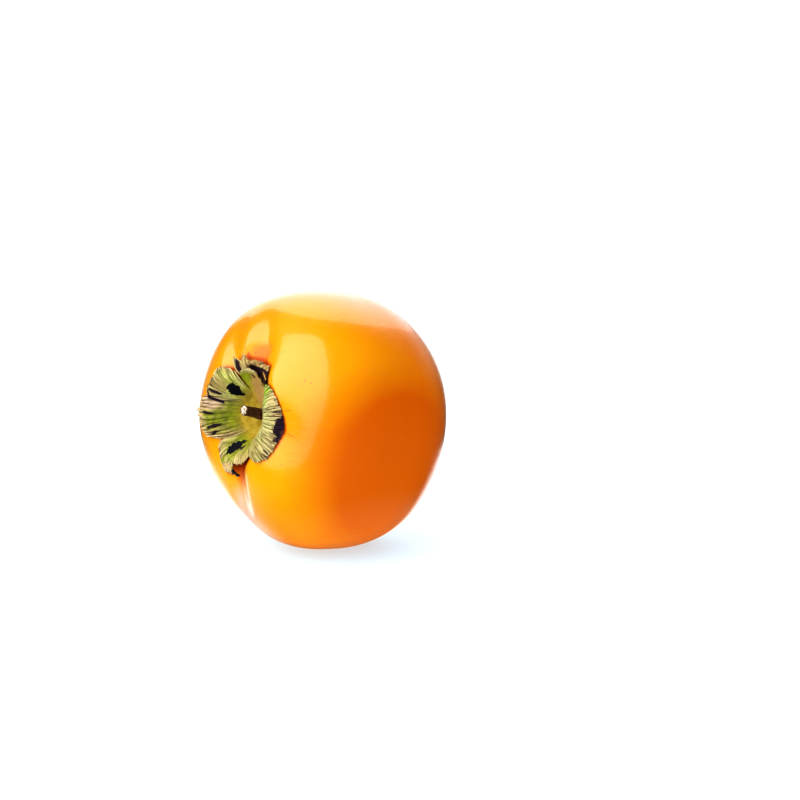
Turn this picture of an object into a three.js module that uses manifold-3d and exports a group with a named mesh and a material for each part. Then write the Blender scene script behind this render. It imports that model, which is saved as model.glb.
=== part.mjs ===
// A whole ripe persimmon with its calyx and a short cut stem, lying on its side.
//
// Every piece is shaped in the fruit's own frame: +Z runs from the core out through the calyx, and an
// azimuth is counted about it from +X, anticlockwise as somebody facing the calyx sees it. The exported
// group turns that axis to point forwards and a little up, and stands the fruit on its flat spot.
// Lengths are in millimetres, azimuths and tilts in degrees.

import * as THREE from "three";
import { mergeVertices } from "three/addons/utils/BufferGeometryUtils.js";
import Module from "manifold-3d";

// ---------- driving dimensions ----------

const EQUATOR_RADIUS = 36;
const AXIS_TILT = 9.5; // how far the calyx end is raised above level
const TOUCHING_GAP = 0.3; // left between pieces that touch on the real fruit

// Each half of the fruit's profile is a superellipse: its height, and how square its shoulder is.
const CALYX_HALF = { height: 31, squareness: 2.75 };
const APEX_HALF = { height: 28.4, squareness: 2.2 };

const CALYX_BOWL = { radius: 16.5, depth: 9.6 };
const APEX_DIMPLE = { radius: 9, depth: 1.8 };
const FLAT_SPOT_DEPTH = 0.9; // how much the fruit's own weight has pressed flat where it lies

// Swells round the fruit: how many crests each has, how high they stand, and the azimuth of one.
const SWELLS = [
  { crests: 1, height: 0.9, azimuth: 0 },
  { crests: 2, height: 0.75, azimuth: -35 },
  { crests: 3, height: 0.7, azimuth: 49 },
  { crests: 4, height: 0.7, azimuth: 30 },
];

// Grooves run from the bowl's rim down the shoulder. A groove starts at rimAzimuth and would have swung
// to equatorAzimuth by the equator, but it has faded out before.
const GROOVES = [
  { rimAzimuth: 76, equatorAzimuth: 108, depth: 1.3, width: 4.6 },
  { rimAzimuth: 121, equatorAzimuth: 116, depth: 1.2, width: 4.2 },
  { rimAzimuth: 205, equatorAzimuth: 208, depth: 0.8, width: 5.0 },
  { rimAzimuth: 264, equatorAzimuth: 267, depth: 2.3, width: 5.8 },
];
const RIM_SHARE = 0.4; // where the bowl's rim lies, as a share of the equator's radius
const CALYX_RINGS = 0.6; // the share of the mesh's rings that go to the calyx half, for its bowl and rim

const DISC = { radius: 7.8, thickness: 0.9 };
const SEPAL_THICKNESS = 0.8;
const STEM = { baseRadius: 1.6, tipRadius: 1.3, length: 8, lean: 5 };
const STYLE_TIP = { radius: 1.1, length: 1.6 };

// A sepal is drawn from its root, under the disc, but built only from the disc's rim outwards.
// outline: azimuth and reach of its edge. first and last: the azimuths of its two sides at its root,
// halfway and at its edge. lifts: how far its upper face stands off the fruit, from its root to its
// edge, on lines from its first side to its last.
const SEPAL_ROOT = 5; // the root's distance from the axis
const SEPALS = [
  {
    name: "sepal_top",
    outline: [
      [56, 16.2],
      [66, 15.6],
      [78, 15.0],
      [92, 15.0],
      [100, 16.2],
      [108, 14.2],
      [116, 13.6],
    ],
    first: [60, 60, 56],
    last: [117, 117, 116],
    lifts: [
      [0.4, 0.4, 0.6, 0.8, 0.9, 0.7],
      [0.4, 0.4, 0.8, 1.6, 1.7, 1.3],
      [0.4, 0.4, 1.0, 1.9, 2.0, 1.5],
      [0.4, 0.4, 0.8, 1.3, 1.5, 1.2],
    ],
    color: 0x8d6b3c,
  },
  {
    name: "sepal_upper_left",
    outline: [
      [120, 12.2],
      [124, 13.6],
      [132, 15.4],
      [142, 17.2],
      [152, 17.9],
      [160, 17.6],
      [165, 17.8],
      [168, 16.0],
    ],
    first: [119, 119, 120],
    last: [145, 158, 168],
    lifts: [
      [0.4, 0.5, 0.7, 0.9, 0.8, 0.3],
      [0.4, 0.9, 1.6, 1.9, 1.4, 0.3],
      [0.4, 1.3, 2.3, 2.4, 1.7, 0.5],
      [0.4, 1.2, 2.0, 2.2, 1.8, 1.0],
    ],
    color: 0xa3a24a,
  },
  {
    name: "sepal_left",
    outline: [
      [171, 17.2],
      [174, 20.2],
      [180, 22.2],
      [189, 23.2],
      [197, 22.3],
      [204, 19.6],
      [209, 17.4],
      [213, 14.8],
    ],
    first: [149, 162, 171],
    last: [230, 225, 213],
    lifts: [
      [0.4, 0.4, 0.4, 0.4, 0.5, 0.7],
      [0.4, 0.4, 0.4, 0.5, 0.8, 0.6],
      [0.4, 0.4, 0.5, 0.7, 0.7, 0.3],
      [0.4, 0.5, 0.6, 0.6, 0.5, 0.3],
    ],
    color: 0x9aa33c,
  },
  {
    name: "sepal_bottom",
    outline: [
      [219, 12.6],
      [222, 15.6],
      [229, 16.6],
      [235, 17.8],
      [241, 19.3],
      [250, 18.5],
      [256, 16.8],
      [262, 15.0],
      [275, 14.2],
      [290, 13.6],
      [299, 12.6],
    ],
    first: [234, 229, 219],
    last: [298, 298, 299],
    lifts: [
      [0.4, 0.6, 0.9, 0.9, 0.7, 0.4],
      [0.4, 0.6, 0.8, 0.8, 0.8, 0.6],
      [0.4, 0.6, 1.0, 1.1, 1.0, 0.6],
      [0.4, 0.6, 0.8, 0.9, 0.7, 0.4],
    ],
    color: 0xa0a548,
  },
  {
    name: "sepal_right",
    outline: [
      [-58, 12.2],
      [-50, 15.4],
      [-40, 16.7],
      [-30, 16.8],
      [-18, 17.0],
      [-7, 17.7],
      [2, 17.1],
      [12, 16.2],
      [24, 15.4],
      [34, 14.6],
      [42, 13.2],
      [48, 11.8],
    ],
    first: [-58, -58, -58],
    last: [48, 48, 48],
    lifts: [
      [0.4, 0.9, 1.4, 1.4, 0.9, 0.4],
      [0.4, 1.5, 2.6, 2.5, 1.6, 0.4],
      [0.4, 1.5, 2.6, 2.4, 1.3, 0.3],
      [0.4, 0.5, 0.7, 0.9, 0.8, 0.5],
    ],
    color: 0xb5b167,
  },
];

// ---------- the fruit's surface ----------

const wasm = await Module();
wasm.setup();

const { smoothstep, clamp, lerp, degToRad: radians, radToDeg: degrees } = THREE.MathUtils;

/** x in degrees brought to 0 or more and under 360. */
const wrapped = (x) => ((x % 360) + 360) % 360;

/** The share of a hollow's depth that is left at a distance from its middle. */
const hollow = (distance, radius) => 0.5 * (1 + Math.cos(Math.PI * clamp(distance / radius, 0, 1)));

/** Where groove lies at a distance from the axis. */
function grooveAzimuth(groove, distance) {
  const way = clamp((distance / EQUATOR_RADIUS - RIM_SHARE) / (1 - RIM_SHARE), 0, 1);
  return lerp(groove.rimAzimuth, groove.equatorAzimuth, way);
}

/** How far the swells stand out from the plain profile, and how deep the grooves cut below them. */
function relief(azimuth, distance, height) {
  const rise = height / EQUATOR_RADIUS;
  const swell = SWELLS.reduce(
    (sum, { crests, height: high, azimuth: crest }) =>
      sum + high * Math.cos(crests * radians(azimuth - crest)),
    0,
  );
  const bulge = swell * (0.25 + 0.75 * smoothstep(rise, -0.2, 0.6));
  const valley = GROOVES.reduce((sum, groove) => {
    const off = wrapped(azimuth - grooveAzimuth(groove, distance) + 180) - 180;
    const arc = radians(off) * Math.max(distance, 6);
    return sum + groove.depth * Math.exp(-((arc / groove.width) ** 2));
  }, 0);
  const cut = valley * smoothstep(rise, 0.52, 0.84);
  const fade = smoothstep(distance / EQUATOR_RADIUS, 0.08, 0.38);
  return { bulge: bulge * fade, cut: cut * fade };
}

/**
 * The point of the fruit's surface at an azimuth in degrees and an angle from the calyx end in radians.
 * Without grooved, the surface spans the grooves, as a stiff sepal does.
 */
function fruitPoint(azimuth, polar, grooved = true) {
  const side = Math.cos(polar) >= 0 ? CALYX_HALF : APEX_HALF;
  const power = 2 / side.squareness;
  const distance = EQUATOR_RADIUS * Math.abs(Math.sin(polar)) ** power;
  const height = side.height * Math.sign(Math.cos(polar)) * Math.abs(Math.cos(polar)) ** power;
  const outward = new THREE.Vector2(
    (distance / EQUATOR_RADIUS) ** (side.squareness - 1) / EQUATOR_RADIUS,
    (Math.sign(height) * Math.abs(height / side.height) ** (side.squareness - 1)) / side.height,
  ).normalize();
  const { bulge, cut } = relief(azimuth, distance, height);
  const out = grooved ? bulge - cut : bulge;
  const radius = distance + outward.x * out;
  const dent =
    height > 0
      ? CALYX_BOWL.depth * hollow(radius, CALYX_BOWL.radius)
      : -APEX_DIMPLE.depth * hollow(radius, APEX_DIMPLE.radius);
  return new THREE.Vector3(
    radius * Math.cos(radians(azimuth)),
    radius * Math.sin(radians(azimuth)),
    height + outward.y * out - dent,
  );
}

/** The angle from the calyx end at which the plain profile is at a distance from the axis. */
const polarAt = (distance) => Math.asin((distance / EQUATOR_RADIUS) ** (CALYX_HALF.squareness / 2));

/** A point over the calyx end, lifted off the ungrooved surface along that surface's own normal. */
function calyxPoint(azimuth, distance, lift) {
  const at = (a, d) => fruitPoint(a, polarAt(d), false);
  const point = at(azimuth, distance);
  const outward = at(azimuth, distance + 0.05).sub(point);
  const around = at(azimuth + 0.5, distance).sub(point);
  return point.addScaledVector(outward.cross(around).normalize(), lift);
}

// ---------- making meshes ----------

/** Moves each vertex of a closed three.js geometry to where place puts it, and shares its vertices. */
function reshaped(geometry, place) {
  const bare = geometry.clone();
  bare.deleteAttribute("normal");
  bare.deleteAttribute("uv");
  const merged = mergeVertices(bare, 1e-4);
  const position = merged.getAttribute("position");
  const vertex = new THREE.Vector3();
  for (let i = 0; i < position.count; i += 1) {
    vertex.fromBufferAttribute(position, i);
    position.setXYZ(i, ...place(vertex));
  }
  return mergeVertices(merged, 1e-4);
}

function solidOf(geometry) {
  return new wasm.Manifold(
    new wasm.Mesh({
      numProp: 3,
      vertProperties: geometry.getAttribute("position").array,
      triVerts: new Uint32Array(geometry.index.array),
    }),
  );
}

function geometryOf(solid) {
  const mesh = solid.getMesh();
  return new THREE.BufferGeometry()
    .setAttribute("position", new THREE.BufferAttribute(mesh.vertProperties, 3))
    .setIndex(new THREE.BufferAttribute(mesh.triVerts, 1));
}

function piece(name, geometry, color, roughness) {
  geometry.computeVertexNormals();
  const mesh = new THREE.Mesh(geometry, new THREE.MeshStandardMaterial({ color, roughness }));
  mesh.name = name;
  return mesh;
}

// ---------- the pieces ----------

/** The angle from the calyx end for a share of the way from there to the apex, with rings at even steps. */
function polarOfRing(share) {
  const half = Math.PI / 2;
  return share < CALYX_RINGS
    ? half * (share / CALYX_RINGS) ** (CALYX_HALF.squareness / 2)
    : Math.PI - half * ((1 - share) / (1 - CALYX_RINGS)) ** (APEX_HALF.squareness / 2);
}

/** The fruit before its flat spot is pressed, from a sphere whose latitudes become the profile. */
function roundFruit() {
  return reshaped(new THREE.SphereGeometry(1, 72, 40), ({ x, y, z }) =>
    fruitPoint(degrees(Math.atan2(-z, x)), polarOfRing(Math.acos(clamp(y, -1, 1)) / Math.PI)),
  );
}

/** The turn from the fruit's own frame to how it lies. */
const lyingDown = new THREE.Matrix4().makeRotationX(radians(90 - AXIS_TILT));

/** The fruit with its flat spot, and where the middle of that spot is once the fruit lies down. */
function restingFruit() {
  const lying = roundFruit().applyMatrix4(lyingDown);
  lying.computeBoundingBox();
  const floor = lying.boundingBox.min.z + FLAT_SPOT_DEPTH;
  const size = 4 * EQUATOR_RADIUS;
  const below = reshaped(new THREE.BoxGeometry(size, size, size), ({ x, y, z }) => [
    x,
    y,
    z - size / 2 + floor,
  ]);
  const geometry = geometryOf(solidOf(lying).subtract(solidOf(below)));
  const spot = new THREE.Box3();
  const position = geometry.getAttribute("position");
  for (let i = 0; i < position.count; i += 1) {
    if (position.getZ(i) < floor + 1e-3) {
      spot.expandByPoint(new THREE.Vector3().fromBufferAttribute(position, i));
    }
  }
  geometry.applyMatrix4(lyingDown.clone().invert());
  return { geometry, restPoint: spot.getCenter(new THREE.Vector3()) };
}

/** A low lens that lines the bottom of the bowl. */
function disc() {
  return reshaped(new THREE.SphereGeometry(1, 36, 12), ({ x, y, z }) => {
    const distance = DISC.radius * Math.hypot(x, z);
    const azimuth = degrees(Math.atan2(-z, x));
    const lift = TOUCHING_GAP + (DISC.thickness / 2) * (1 + y);
    return calyxPoint(azimuth, Math.max(distance, 0.01), lift);
  });
}

/** A smooth curve through evenly spaced values, at x from 0 to 1. */
const through = (values, x) =>
  new THREE.SplineCurve(values.map((value, i) => new THREE.Vector2(i, value))).getPoint(x).y;

/** A thin sheet bent over the bowl and its rim. */
function sepal({ outline, first, last, lifts }) {
  const reach = new THREE.LinearInterpolant(
    outline.map(([azimuth]) => azimuth),
    outline.map(([, distance]) => distance),
    1,
  );
  const sheet = new THREE.BoxGeometry(1, 1, 1, 24, 12, 1);
  return reshaped(sheet, ({ x, y, z }) => {
    const across = 0.5 - x;
    const [edge] = reach.evaluate(lerp(outline[0][0], outline.at(-1)[0], across));
    const start = (DISC.radius + TOUCHING_GAP - SEPAL_ROOT) / (edge - SEPAL_ROOT);
    const along = lerp(start, 1, y + 0.5);
    const azimuth = lerp(through(first, along), through(last, along), across);
    const raised = through(
      lifts.map((line) => through(line, along)),
      across,
    );
    const under = Math.max(raised - SEPAL_THICKNESS, TOUCHING_GAP);
    const lift = under + SEPAL_THICKNESS * (z + 0.5);
    return calyxPoint(azimuth, lerp(SEPAL_ROOT, edge, along), lift);
  });
}

/** The stalk: it tapers, stands on the disc, and leans a little. */
function stem() {
  const { baseRadius, tipRadius, length, lean } = STEM;
  const profile = [
    new THREE.Vector2(0, 0),
    new THREE.Vector2(baseRadius, 0),
    new THREE.Vector2(lerp(baseRadius, tipRadius, 0.4), 0.4 * length),
    new THREE.Vector2(tipRadius, 0.93 * length),
    new THREE.Vector2(0.85 * tipRadius, length),
    new THREE.Vector2(0, length),
  ];
  const foot = CALYX_HALF.height - CALYX_BOWL.depth + 2 * TOUCHING_GAP + DISC.thickness;
  const slope = Math.tan(radians(lean));
  return reshaped(new THREE.LatheGeometry(profile, 20), ({ x, y, z }) => [
    x,
    -z + slope * y,
    foot + y,
  ]);
}

/** The dry remnant of the style, standing in the dimple at the apex. */
function styleTip() {
  const { radius, length } = STYLE_TIP;
  const profile = [
    new THREE.Vector2(0, 0),
    new THREE.Vector2(radius, 0),
    new THREE.Vector2(0.6 * radius, 0.5 * length),
    new THREE.Vector2(0, length),
  ];
  const foot = -(APEX_HALF.height - APEX_DIMPLE.depth) - TOUCHING_GAP;
  return reshaped(new THREE.LatheGeometry(profile, 12), ({ x, y, z }) => [x, z, foot - y]);
}

// ---------- the persimmon ----------

const { geometry: fruitGeometry, restPoint } = restingFruit();

const fruit = new THREE.Group();
fruit.applyMatrix4(lyingDown);
fruit.add(
  piece("fruit", fruitGeometry, 0xf59a12, 0.3),
  piece("calyx_disc", disc(), 0xa78a24, 0.85),
  ...SEPALS.map((shape) => piece(shape.name, sepal(shape), shape.color, 0.75)),
  piece("stem", stem(), 0x4a2a1c, 0.8),
  piece("style_tip", styleTip(), 0x2a1c12, 0.85),
);

const persimmon = new THREE.Group();
persimmon.name = "persimmon";
persimmon.add(fruit);
persimmon.position.copy(restPoint).negate();

export default persimmon;
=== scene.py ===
"""The looks of a whole persimmon that lies on its side.

The shapes are worked out in millimetres in the fruit's own frame, as the construction has them: z runs
from the core out through the calyx, and an azimuth is counted about it in degrees from x, anticlockwise
as somebody facing the calyx sees it. rest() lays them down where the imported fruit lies, in metres.
"""

from math import cos, pi, radians, sin

import bpy
import numpy as np
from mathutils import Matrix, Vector


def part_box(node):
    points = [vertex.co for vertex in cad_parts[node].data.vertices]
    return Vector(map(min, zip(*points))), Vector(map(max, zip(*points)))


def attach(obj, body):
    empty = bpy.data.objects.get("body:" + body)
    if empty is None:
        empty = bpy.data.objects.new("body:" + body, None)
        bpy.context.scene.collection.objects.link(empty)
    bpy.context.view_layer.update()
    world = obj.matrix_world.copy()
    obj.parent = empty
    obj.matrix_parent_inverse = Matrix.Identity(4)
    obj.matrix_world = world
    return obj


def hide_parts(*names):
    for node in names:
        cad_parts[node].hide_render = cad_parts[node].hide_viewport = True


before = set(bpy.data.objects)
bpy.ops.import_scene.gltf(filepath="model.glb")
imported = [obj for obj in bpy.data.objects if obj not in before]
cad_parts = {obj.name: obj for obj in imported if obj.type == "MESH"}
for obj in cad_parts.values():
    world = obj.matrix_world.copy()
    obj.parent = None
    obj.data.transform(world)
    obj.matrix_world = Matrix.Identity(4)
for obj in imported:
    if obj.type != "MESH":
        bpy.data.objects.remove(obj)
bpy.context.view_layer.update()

# ---------- driving dimensions of the fruit, as in the construction ----------

MM = 0.001
EQUATOR_RADIUS = 36.0
AXIS_TILT = 9.5
CALYX_HEIGHT, CALYX_SQUARENESS = 31.0, 2.75
APEX_HEIGHT, APEX_SQUARENESS = 28.4, 2.2
BOWL_RADIUS, BOWL_DEPTH = 16.5, 9.6
DIMPLE_RADIUS, DIMPLE_DEPTH = 9.0, 1.8
FLAT_SPOT_DEPTH = 0.9
LEAST_ARM = 6.0  # the distance from the axis below which a groove gets no wider in degrees
# swells round the fruit: how many crests, how high, and the azimuth of a crest
SWELLS = ((1, 0.9, 0.0), (2, 0.75, -35.0), (3, 0.7, 49.0), (4, 0.7, 30.0))
# grooves: azimuth at the bowl's rim and at the equator, depth and width
GROOVES = (
    (76.0, 108.0, 1.3, 4.6),
    (121.0, 116.0, 1.2, 4.2),
    (205.0, 208.0, 0.8, 5.0),
    (264.0, 267.0, 2.3, 5.8),
)
RIM_SHARE = 0.4  # where the bowl's rim lies, as a share of the equator's radius


# ---------- the fruit's surface ----------


def smoothstep(low, high, x):
    t = np.clip((x - low) / (high - low), 0.0, 1.0)
    return t * t * (3.0 - 2.0 * t)


def hollow(distance, radius):
    return 0.5 * (1.0 + np.cos(pi * np.clip(distance / radius, 0.0, 1.0)))


def uneven(x, y, seed, pitch, octaves=3):
    """A smooth irregular surface between about -1 and 1, whose largest waves are pitch long."""
    draw = np.random.default_rng(seed)
    total = np.zeros(np.broadcast(x, y).shape)
    for octave in range(octaves):
        for _ in range(4):
            heading = draw.uniform(0.0, 2.0 * pi)
            turns = draw.uniform(0.7, 1.3) * 2.0**octave / pitch
            phase = draw.uniform(0.0, 2.0 * pi)
            across = x * cos(heading) + y * sin(heading)
            total = total + 0.5**octave * np.sin(2.0 * pi * turns * across + phase)
    return total / 4.0


def relief(azimuth, distance, height):
    """How far the swells stand out from the plain profile, and how deep the grooves cut below them.

    The swells are a quarter as high on the apex's side, the grooves end well before the equator, and
    both fade out towards the axis.
    """
    rise = height / EQUATOR_RADIUS
    turn = np.radians(azimuth)
    bulge = sum(high * np.cos(crests * (turn - radians(crest))) for crests, high, crest in SWELLS)
    bulge = bulge * (0.25 + 0.75 * smoothstep(-0.2, 0.6, rise))
    way = np.clip((distance / EQUATOR_RADIUS - RIM_SHARE) / (1.0 - RIM_SHARE), 0.0, 1.0)
    cut = 0.0
    for rim, equator, depth, width in GROOVES:
        off = (azimuth - rim - (equator - rim) * way + 180.0) % 360.0 - 180.0
        arc = np.radians(off) * np.maximum(distance, LEAST_ARM)
        cut = cut + depth * np.exp(-((arc / width) ** 2))
    cut = cut * smoothstep(0.52, 0.84, rise)
    fade = smoothstep(0.08, 0.38, distance / EQUATOR_RADIUS)
    return bulge * fade, cut * fade


def fruit_surface(azimuth, polar, grooved=1.0):
    """Points of the surface, and how deep the grooves are there. polar is the angle from the calyx."""
    calyx_side = np.cos(polar) >= 0.0
    half_height = np.where(calyx_side, CALYX_HEIGHT, APEX_HEIGHT)
    squareness = np.where(calyx_side, CALYX_SQUARENESS, APEX_SQUARENESS)
    power = 2.0 / squareness
    distance = EQUATOR_RADIUS * np.abs(np.sin(polar)) ** power
    height = half_height * np.sign(np.cos(polar)) * np.abs(np.cos(polar)) ** power
    out_r = (distance / EQUATOR_RADIUS) ** (squareness - 1.0) / EQUATOR_RADIUS
    out_z = np.sign(height) * np.abs(height / half_height) ** (squareness - 1.0) / half_height
    length = np.hypot(out_r, out_z)
    bulge, cut = relief(azimuth, distance, height)
    out = (bulge - grooved * cut) / length
    radius = distance + out_r * out
    bowl = BOWL_DEPTH * hollow(radius, BOWL_RADIUS)
    dimple = DIMPLE_DEPTH * hollow(radius, DIMPLE_RADIUS)
    level = height + out_z * out + np.where(height > 0.0, -bowl, dimple)
    turn = np.radians(azimuth)
    return np.stack([radius * np.cos(turn), radius * np.sin(turn), level], -1), cut


def calyx_surface(azimuth, distance, lift):
    """Points over the calyx end, lifted off the surface with its grooves spanned, and the way out."""

    def at(a, d):
        reach = np.clip(d / EQUATOR_RADIUS, 0.0, 0.999)
        return fruit_surface(a, np.arcsin(reach ** (CALYX_SQUARENESS / 2.0)), 0.0)[0]

    point = at(azimuth, distance)
    normal = np.cross(at(azimuth, distance + 0.05) - point, at(azimuth + 0.5, distance) - point)
    normal /= np.linalg.norm(normal, axis=-1, keepdims=True)
    return point + normal * np.asarray(lift)[..., None], normal


def laid_down(points):
    """From the fruit's own frame to how it lies, still in millimetres and not yet placed."""
    tilt = radians(AXIS_TILT)
    x, y, z = points[..., 0], points[..., 1], points[..., 2]
    return np.stack([x, y * sin(tilt) - z * cos(tilt), y * cos(tilt) + z * sin(tilt)], -1)


# ---------- the fruit's mesh points, which set where everything lies ----------

AROUND, RINGS, CALYX_RINGS = 400, 236, 140


def fruit_points():
    calyx_part = (np.arange(1, CALYX_RINGS + 1) / CALYX_RINGS) ** (CALYX_SQUARENESS / 2.0)
    apex_rings = RINGS - CALYX_RINGS
    to_equator = np.arange(apex_rings, 0, -1) / (apex_rings + 1.0)
    apex_part = 2.0 - to_equator ** (APEX_SQUARENESS / 2.0)
    polar = pi / 2.0 * np.concatenate([[0.0], calyx_part, apex_part, [2.0]])
    azimuth = np.arange(AROUND) * 360.0 / AROUND
    return fruit_surface(*np.meshgrid(azimuth, polar))


own_points, groove_depth = fruit_points()
lying = laid_down(own_points)
floor_level = lying[..., 2].min() + FLAT_SPOT_DEPTH
box_low, box_high = (np.array(corner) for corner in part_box("fruit"))
lying_middle = (lying.reshape(-1, 3).min(0) + lying.reshape(-1, 3).max(0)) / 2.0
box_middle = (box_low + box_high) / 2.0 / MM
SHIFT = np.array([*(box_middle - lying_middle)[:2], box_low[2] / MM - floor_level])


def rest(points):
    """From the fruit's own frame to the place where it lies, in metres."""
    return (laid_down(points) + SHIFT) * MM


CENTRE = Vector(rest(np.zeros(3)))  # of the fruit's own frame


# ---------- making meshes ----------


def new_mesh(name, points, faces, material, **attributes):
    mesh = bpy.data.meshes.new(name)
    mesh.from_pydata(points.reshape(-1, 3).tolist(), [], faces)
    for label, values in attributes.items():
        values = np.asarray(values, dtype=np.float32)
        vector = values.shape[-1] == 3 and values.ndim > 1
        layer = mesh.attributes.new(label, "FLOAT_VECTOR" if vector else "FLOAT", "POINT")
        layer.data.foreach_set("vector" if vector else "value", values.ravel())
    mesh.polygons.foreach_set("use_smooth", [True] * len(mesh.polygons))
    mesh.materials.append(material)
    mesh.update()
    piece = bpy.data.objects.new(name, mesh)
    bpy.context.scene.collection.objects.link(piece)
    return piece


def capped_faces(rings, around):
    """Faces of a closed body whose first and last point are poles, with rings between them."""

    def point(ring, j):
        return 1 + ring * around + j % around

    pole = rings * around + 1
    start = [(0, point(0, j), point(0, j + 1)) for j in range(around)]
    end = [(pole, point(rings - 1, j + 1), point(rings - 1, j)) for j in range(around)]
    sides = [
        (point(i, j), point(i + 1, j), point(i + 1, j + 1), point(i, j + 1))
        for i in range(rings - 1)
        for j in range(around)
    ]
    return start + sides + end


def capped(grid):
    """The grid's points as capped_faces counts them: its first and last rows are single points."""
    return np.concatenate([grid[0, :1], grid[1:-1].reshape(-1, *grid.shape[2:]), grid[-1, :1]])


def round_piece(name, points, material, placed=rest, **attributes):
    """A closed piece from rings of points in the fruit's own frame, which placed lays down."""
    rings, around = points.shape[:2]
    own = capped(points)
    faces = capped_faces(rings - 2, around)
    return new_mesh("persimmon_" + name, placed(own), faces, material, own=own, **attributes)


def sheet_faces(rows, columns):
    """Faces of a thin closed sheet: an upper and a lower grid of points, joined round their edge."""
    under = rows * columns

    def cell(i, j):
        corner = i * columns + j
        return corner, corner + 1, corner + columns + 1, corner + columns

    upper = [cell(i, j) for i in range(rows - 1) for j in range(columns - 1)]
    lower = [tuple(under + k for k in reversed(face)) for face in upper]
    edge = list(range(columns))
    edge += [i * columns + columns - 1 for i in range(1, rows)]
    edge += [(rows - 1) * columns + j for j in range(columns - 2, -1, -1)]
    edge += [i * columns for i in range(rows - 2, 0, -1)]
    pairs = zip(edge, edge[1:] + edge[:1])
    return upper + lower + [(b, a, under + a, under + b) for a, b in pairs]


# ---------- writing materials ----------


class Nodes:
    """The node tree of a material or a world, written as nested calls.

    A value is a number, a colour or a socket.
    """

    def __init__(self, owner):
        self.owner = owner
        owner.use_nodes = True
        self.tree = owner.node_tree

    def put(self, socket, value):
        if isinstance(value, bpy.types.NodeSocket):
            self.tree.links.new(value, socket)
        else:
            socket.default_value = value

    def add(self, kind, inputs, output=0, **settings):
        node = self.tree.nodes.new("ShaderNode" + kind)
        for label, value in settings.items():
            setattr(node, label, value)
        for key, value in inputs.items():
            self.put(node.inputs[key], value)
        return node.outputs[output]

    def attribute(self, label, output="Fac"):
        return self.add("Attribute", {}, output, attribute_name=label)

    def math(self, operation, *values, clamp=False):
        return self.add("Math", dict(enumerate(values)), operation=operation, use_clamp=clamp)

    def times(self, first, second):
        return self.math("MULTIPLY", first, second)

    def scaled(self, value, factor, offset):
        """factor times the value, plus the offset."""
        return self.math("MULTIPLY_ADD", value, factor, offset)

    def part(self, vector, axis):
        return self.add("SeparateXYZ", {0: vector}, axis)

    def vector(self, operation, first, second=(0.0, 0.0, 0.0), output=0):
        return self.add("VectorMath", {0: first, 1: second}, output, operation=operation)

    def noise(self, vector, scale, detail=3.0, roughness=0.5):
        inputs = {"Vector": vector, "Scale": scale, "Detail": detail, "Roughness": roughness}
        return self.add("TexNoise", inputs, "Fac")

    def grain(self, vector, stretch, detail=3.0, roughness=0.5):
        """Noise that has its own scale along each axis."""
        return self.noise(self.vector("MULTIPLY", vector, stretch), 1.0, detail, roughness)

    def bump(self, height, strength, distance):
        return self.add("Bump", {"Strength": strength, "Distance": distance, "Height": height})

    def step(self, value, low, high):
        """0 below low, 1 above high, and smooth between; high may be under low."""
        inputs = {"Value": value, "From Min": low, "From Max": high}
        return self.add("MapRange", inputs, "Result", interpolation_type="SMOOTHSTEP")

    def blend(self, factor, first, second):
        return self.add("Mix", {0: factor, 2: first, 3: second}, data_type="FLOAT")

    def mix(self, factor, first, second):
        inputs = {0: factor, 6: opaque(first), 7: opaque(second)}
        return self.add("Mix", inputs, 2, data_type="RGBA")

    def blot(self, place, middle, size, heading, ragged, scale, softness=0.08):
        """1 inside a ragged ellipse in the plane facing the calyx, 0 outside it.

        size: half its length and width; ragged and scale: how deep and how close its notches are.
        """
        inputs = {
            "Vector": place,
            "Location": (*middle, 0.0),
            "Rotation": (0.0, 0.0, radians(heading)),
            "Scale": (*size, 1e6),
        }
        local = self.add("Mapping", inputs, vector_type="TEXTURE")
        away = self.vector("LENGTH", local, output="Value")
        wobble = self.scaled(self.noise(place, scale, 4.0, 0.6), 2 * ragged, -ragged)
        return self.step(self.math("ADD", away, wobble), 1.0 + softness, 1.0 - softness)

    def finish(self, **values):
        for label, value in values.items():
            key = label.replace("_", " ").title().replace("Ior", "IOR")
            value = opaque(value) if key.endswith(("Color", "Tint")) else value
            self.put(self.tree.nodes["Principled BSDF"].inputs[key], value)
        return self.owner


def opaque(colour):
    return (*colour, 1.0) if isinstance(colour, tuple) and len(colour) == 3 else colour


def material_of(name):
    """The nodes of a piece's new material, and the place in the fruit's own frame that they colour."""
    n = Nodes(bpy.data.materials.new("persimmon_" + name))
    return n, n.attribute("own", "Vector")


# ---------- materials ----------

BLACK = (0.004, 0.004, 0.009)
PURPLE = (0.020, 0.008, 0.018)

# the red is painted shade, for the skin in the calyx's bowl and close beside the sepals
GOLD_SKIN, DEEP_SKIN, SHADED_RED_SKIN = (0.72, 0.295, 0.001), (0.56, 0.118, 0.001), (0.52, 0.045, 0.001)
DEEP_AND_SHADED_SIDE = (40.0, -8.0, 12.0)  # the middle of the deepest orange side: ripening, and painted shade away from the key light
UPPER_LOBE = (-12.0, 20.0, 18.0)  # the middle of a lobe above the calyx that has turned deeper too
# patches of the skin on the calyx side: middle, half their size, and heading
FLUSH = ((2.2, 17.2), (3.6, 2.6), 0.0)
# a pale streaked band by the lower groove: a painted highlight together with wax bloom
GLINT_AND_BLOOM = ((-3.4, -26.8), (4.0, 5.2), 0.0)
MATT = ((-0.4, 16.6), (5.0, 3.1), 10.0)
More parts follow.
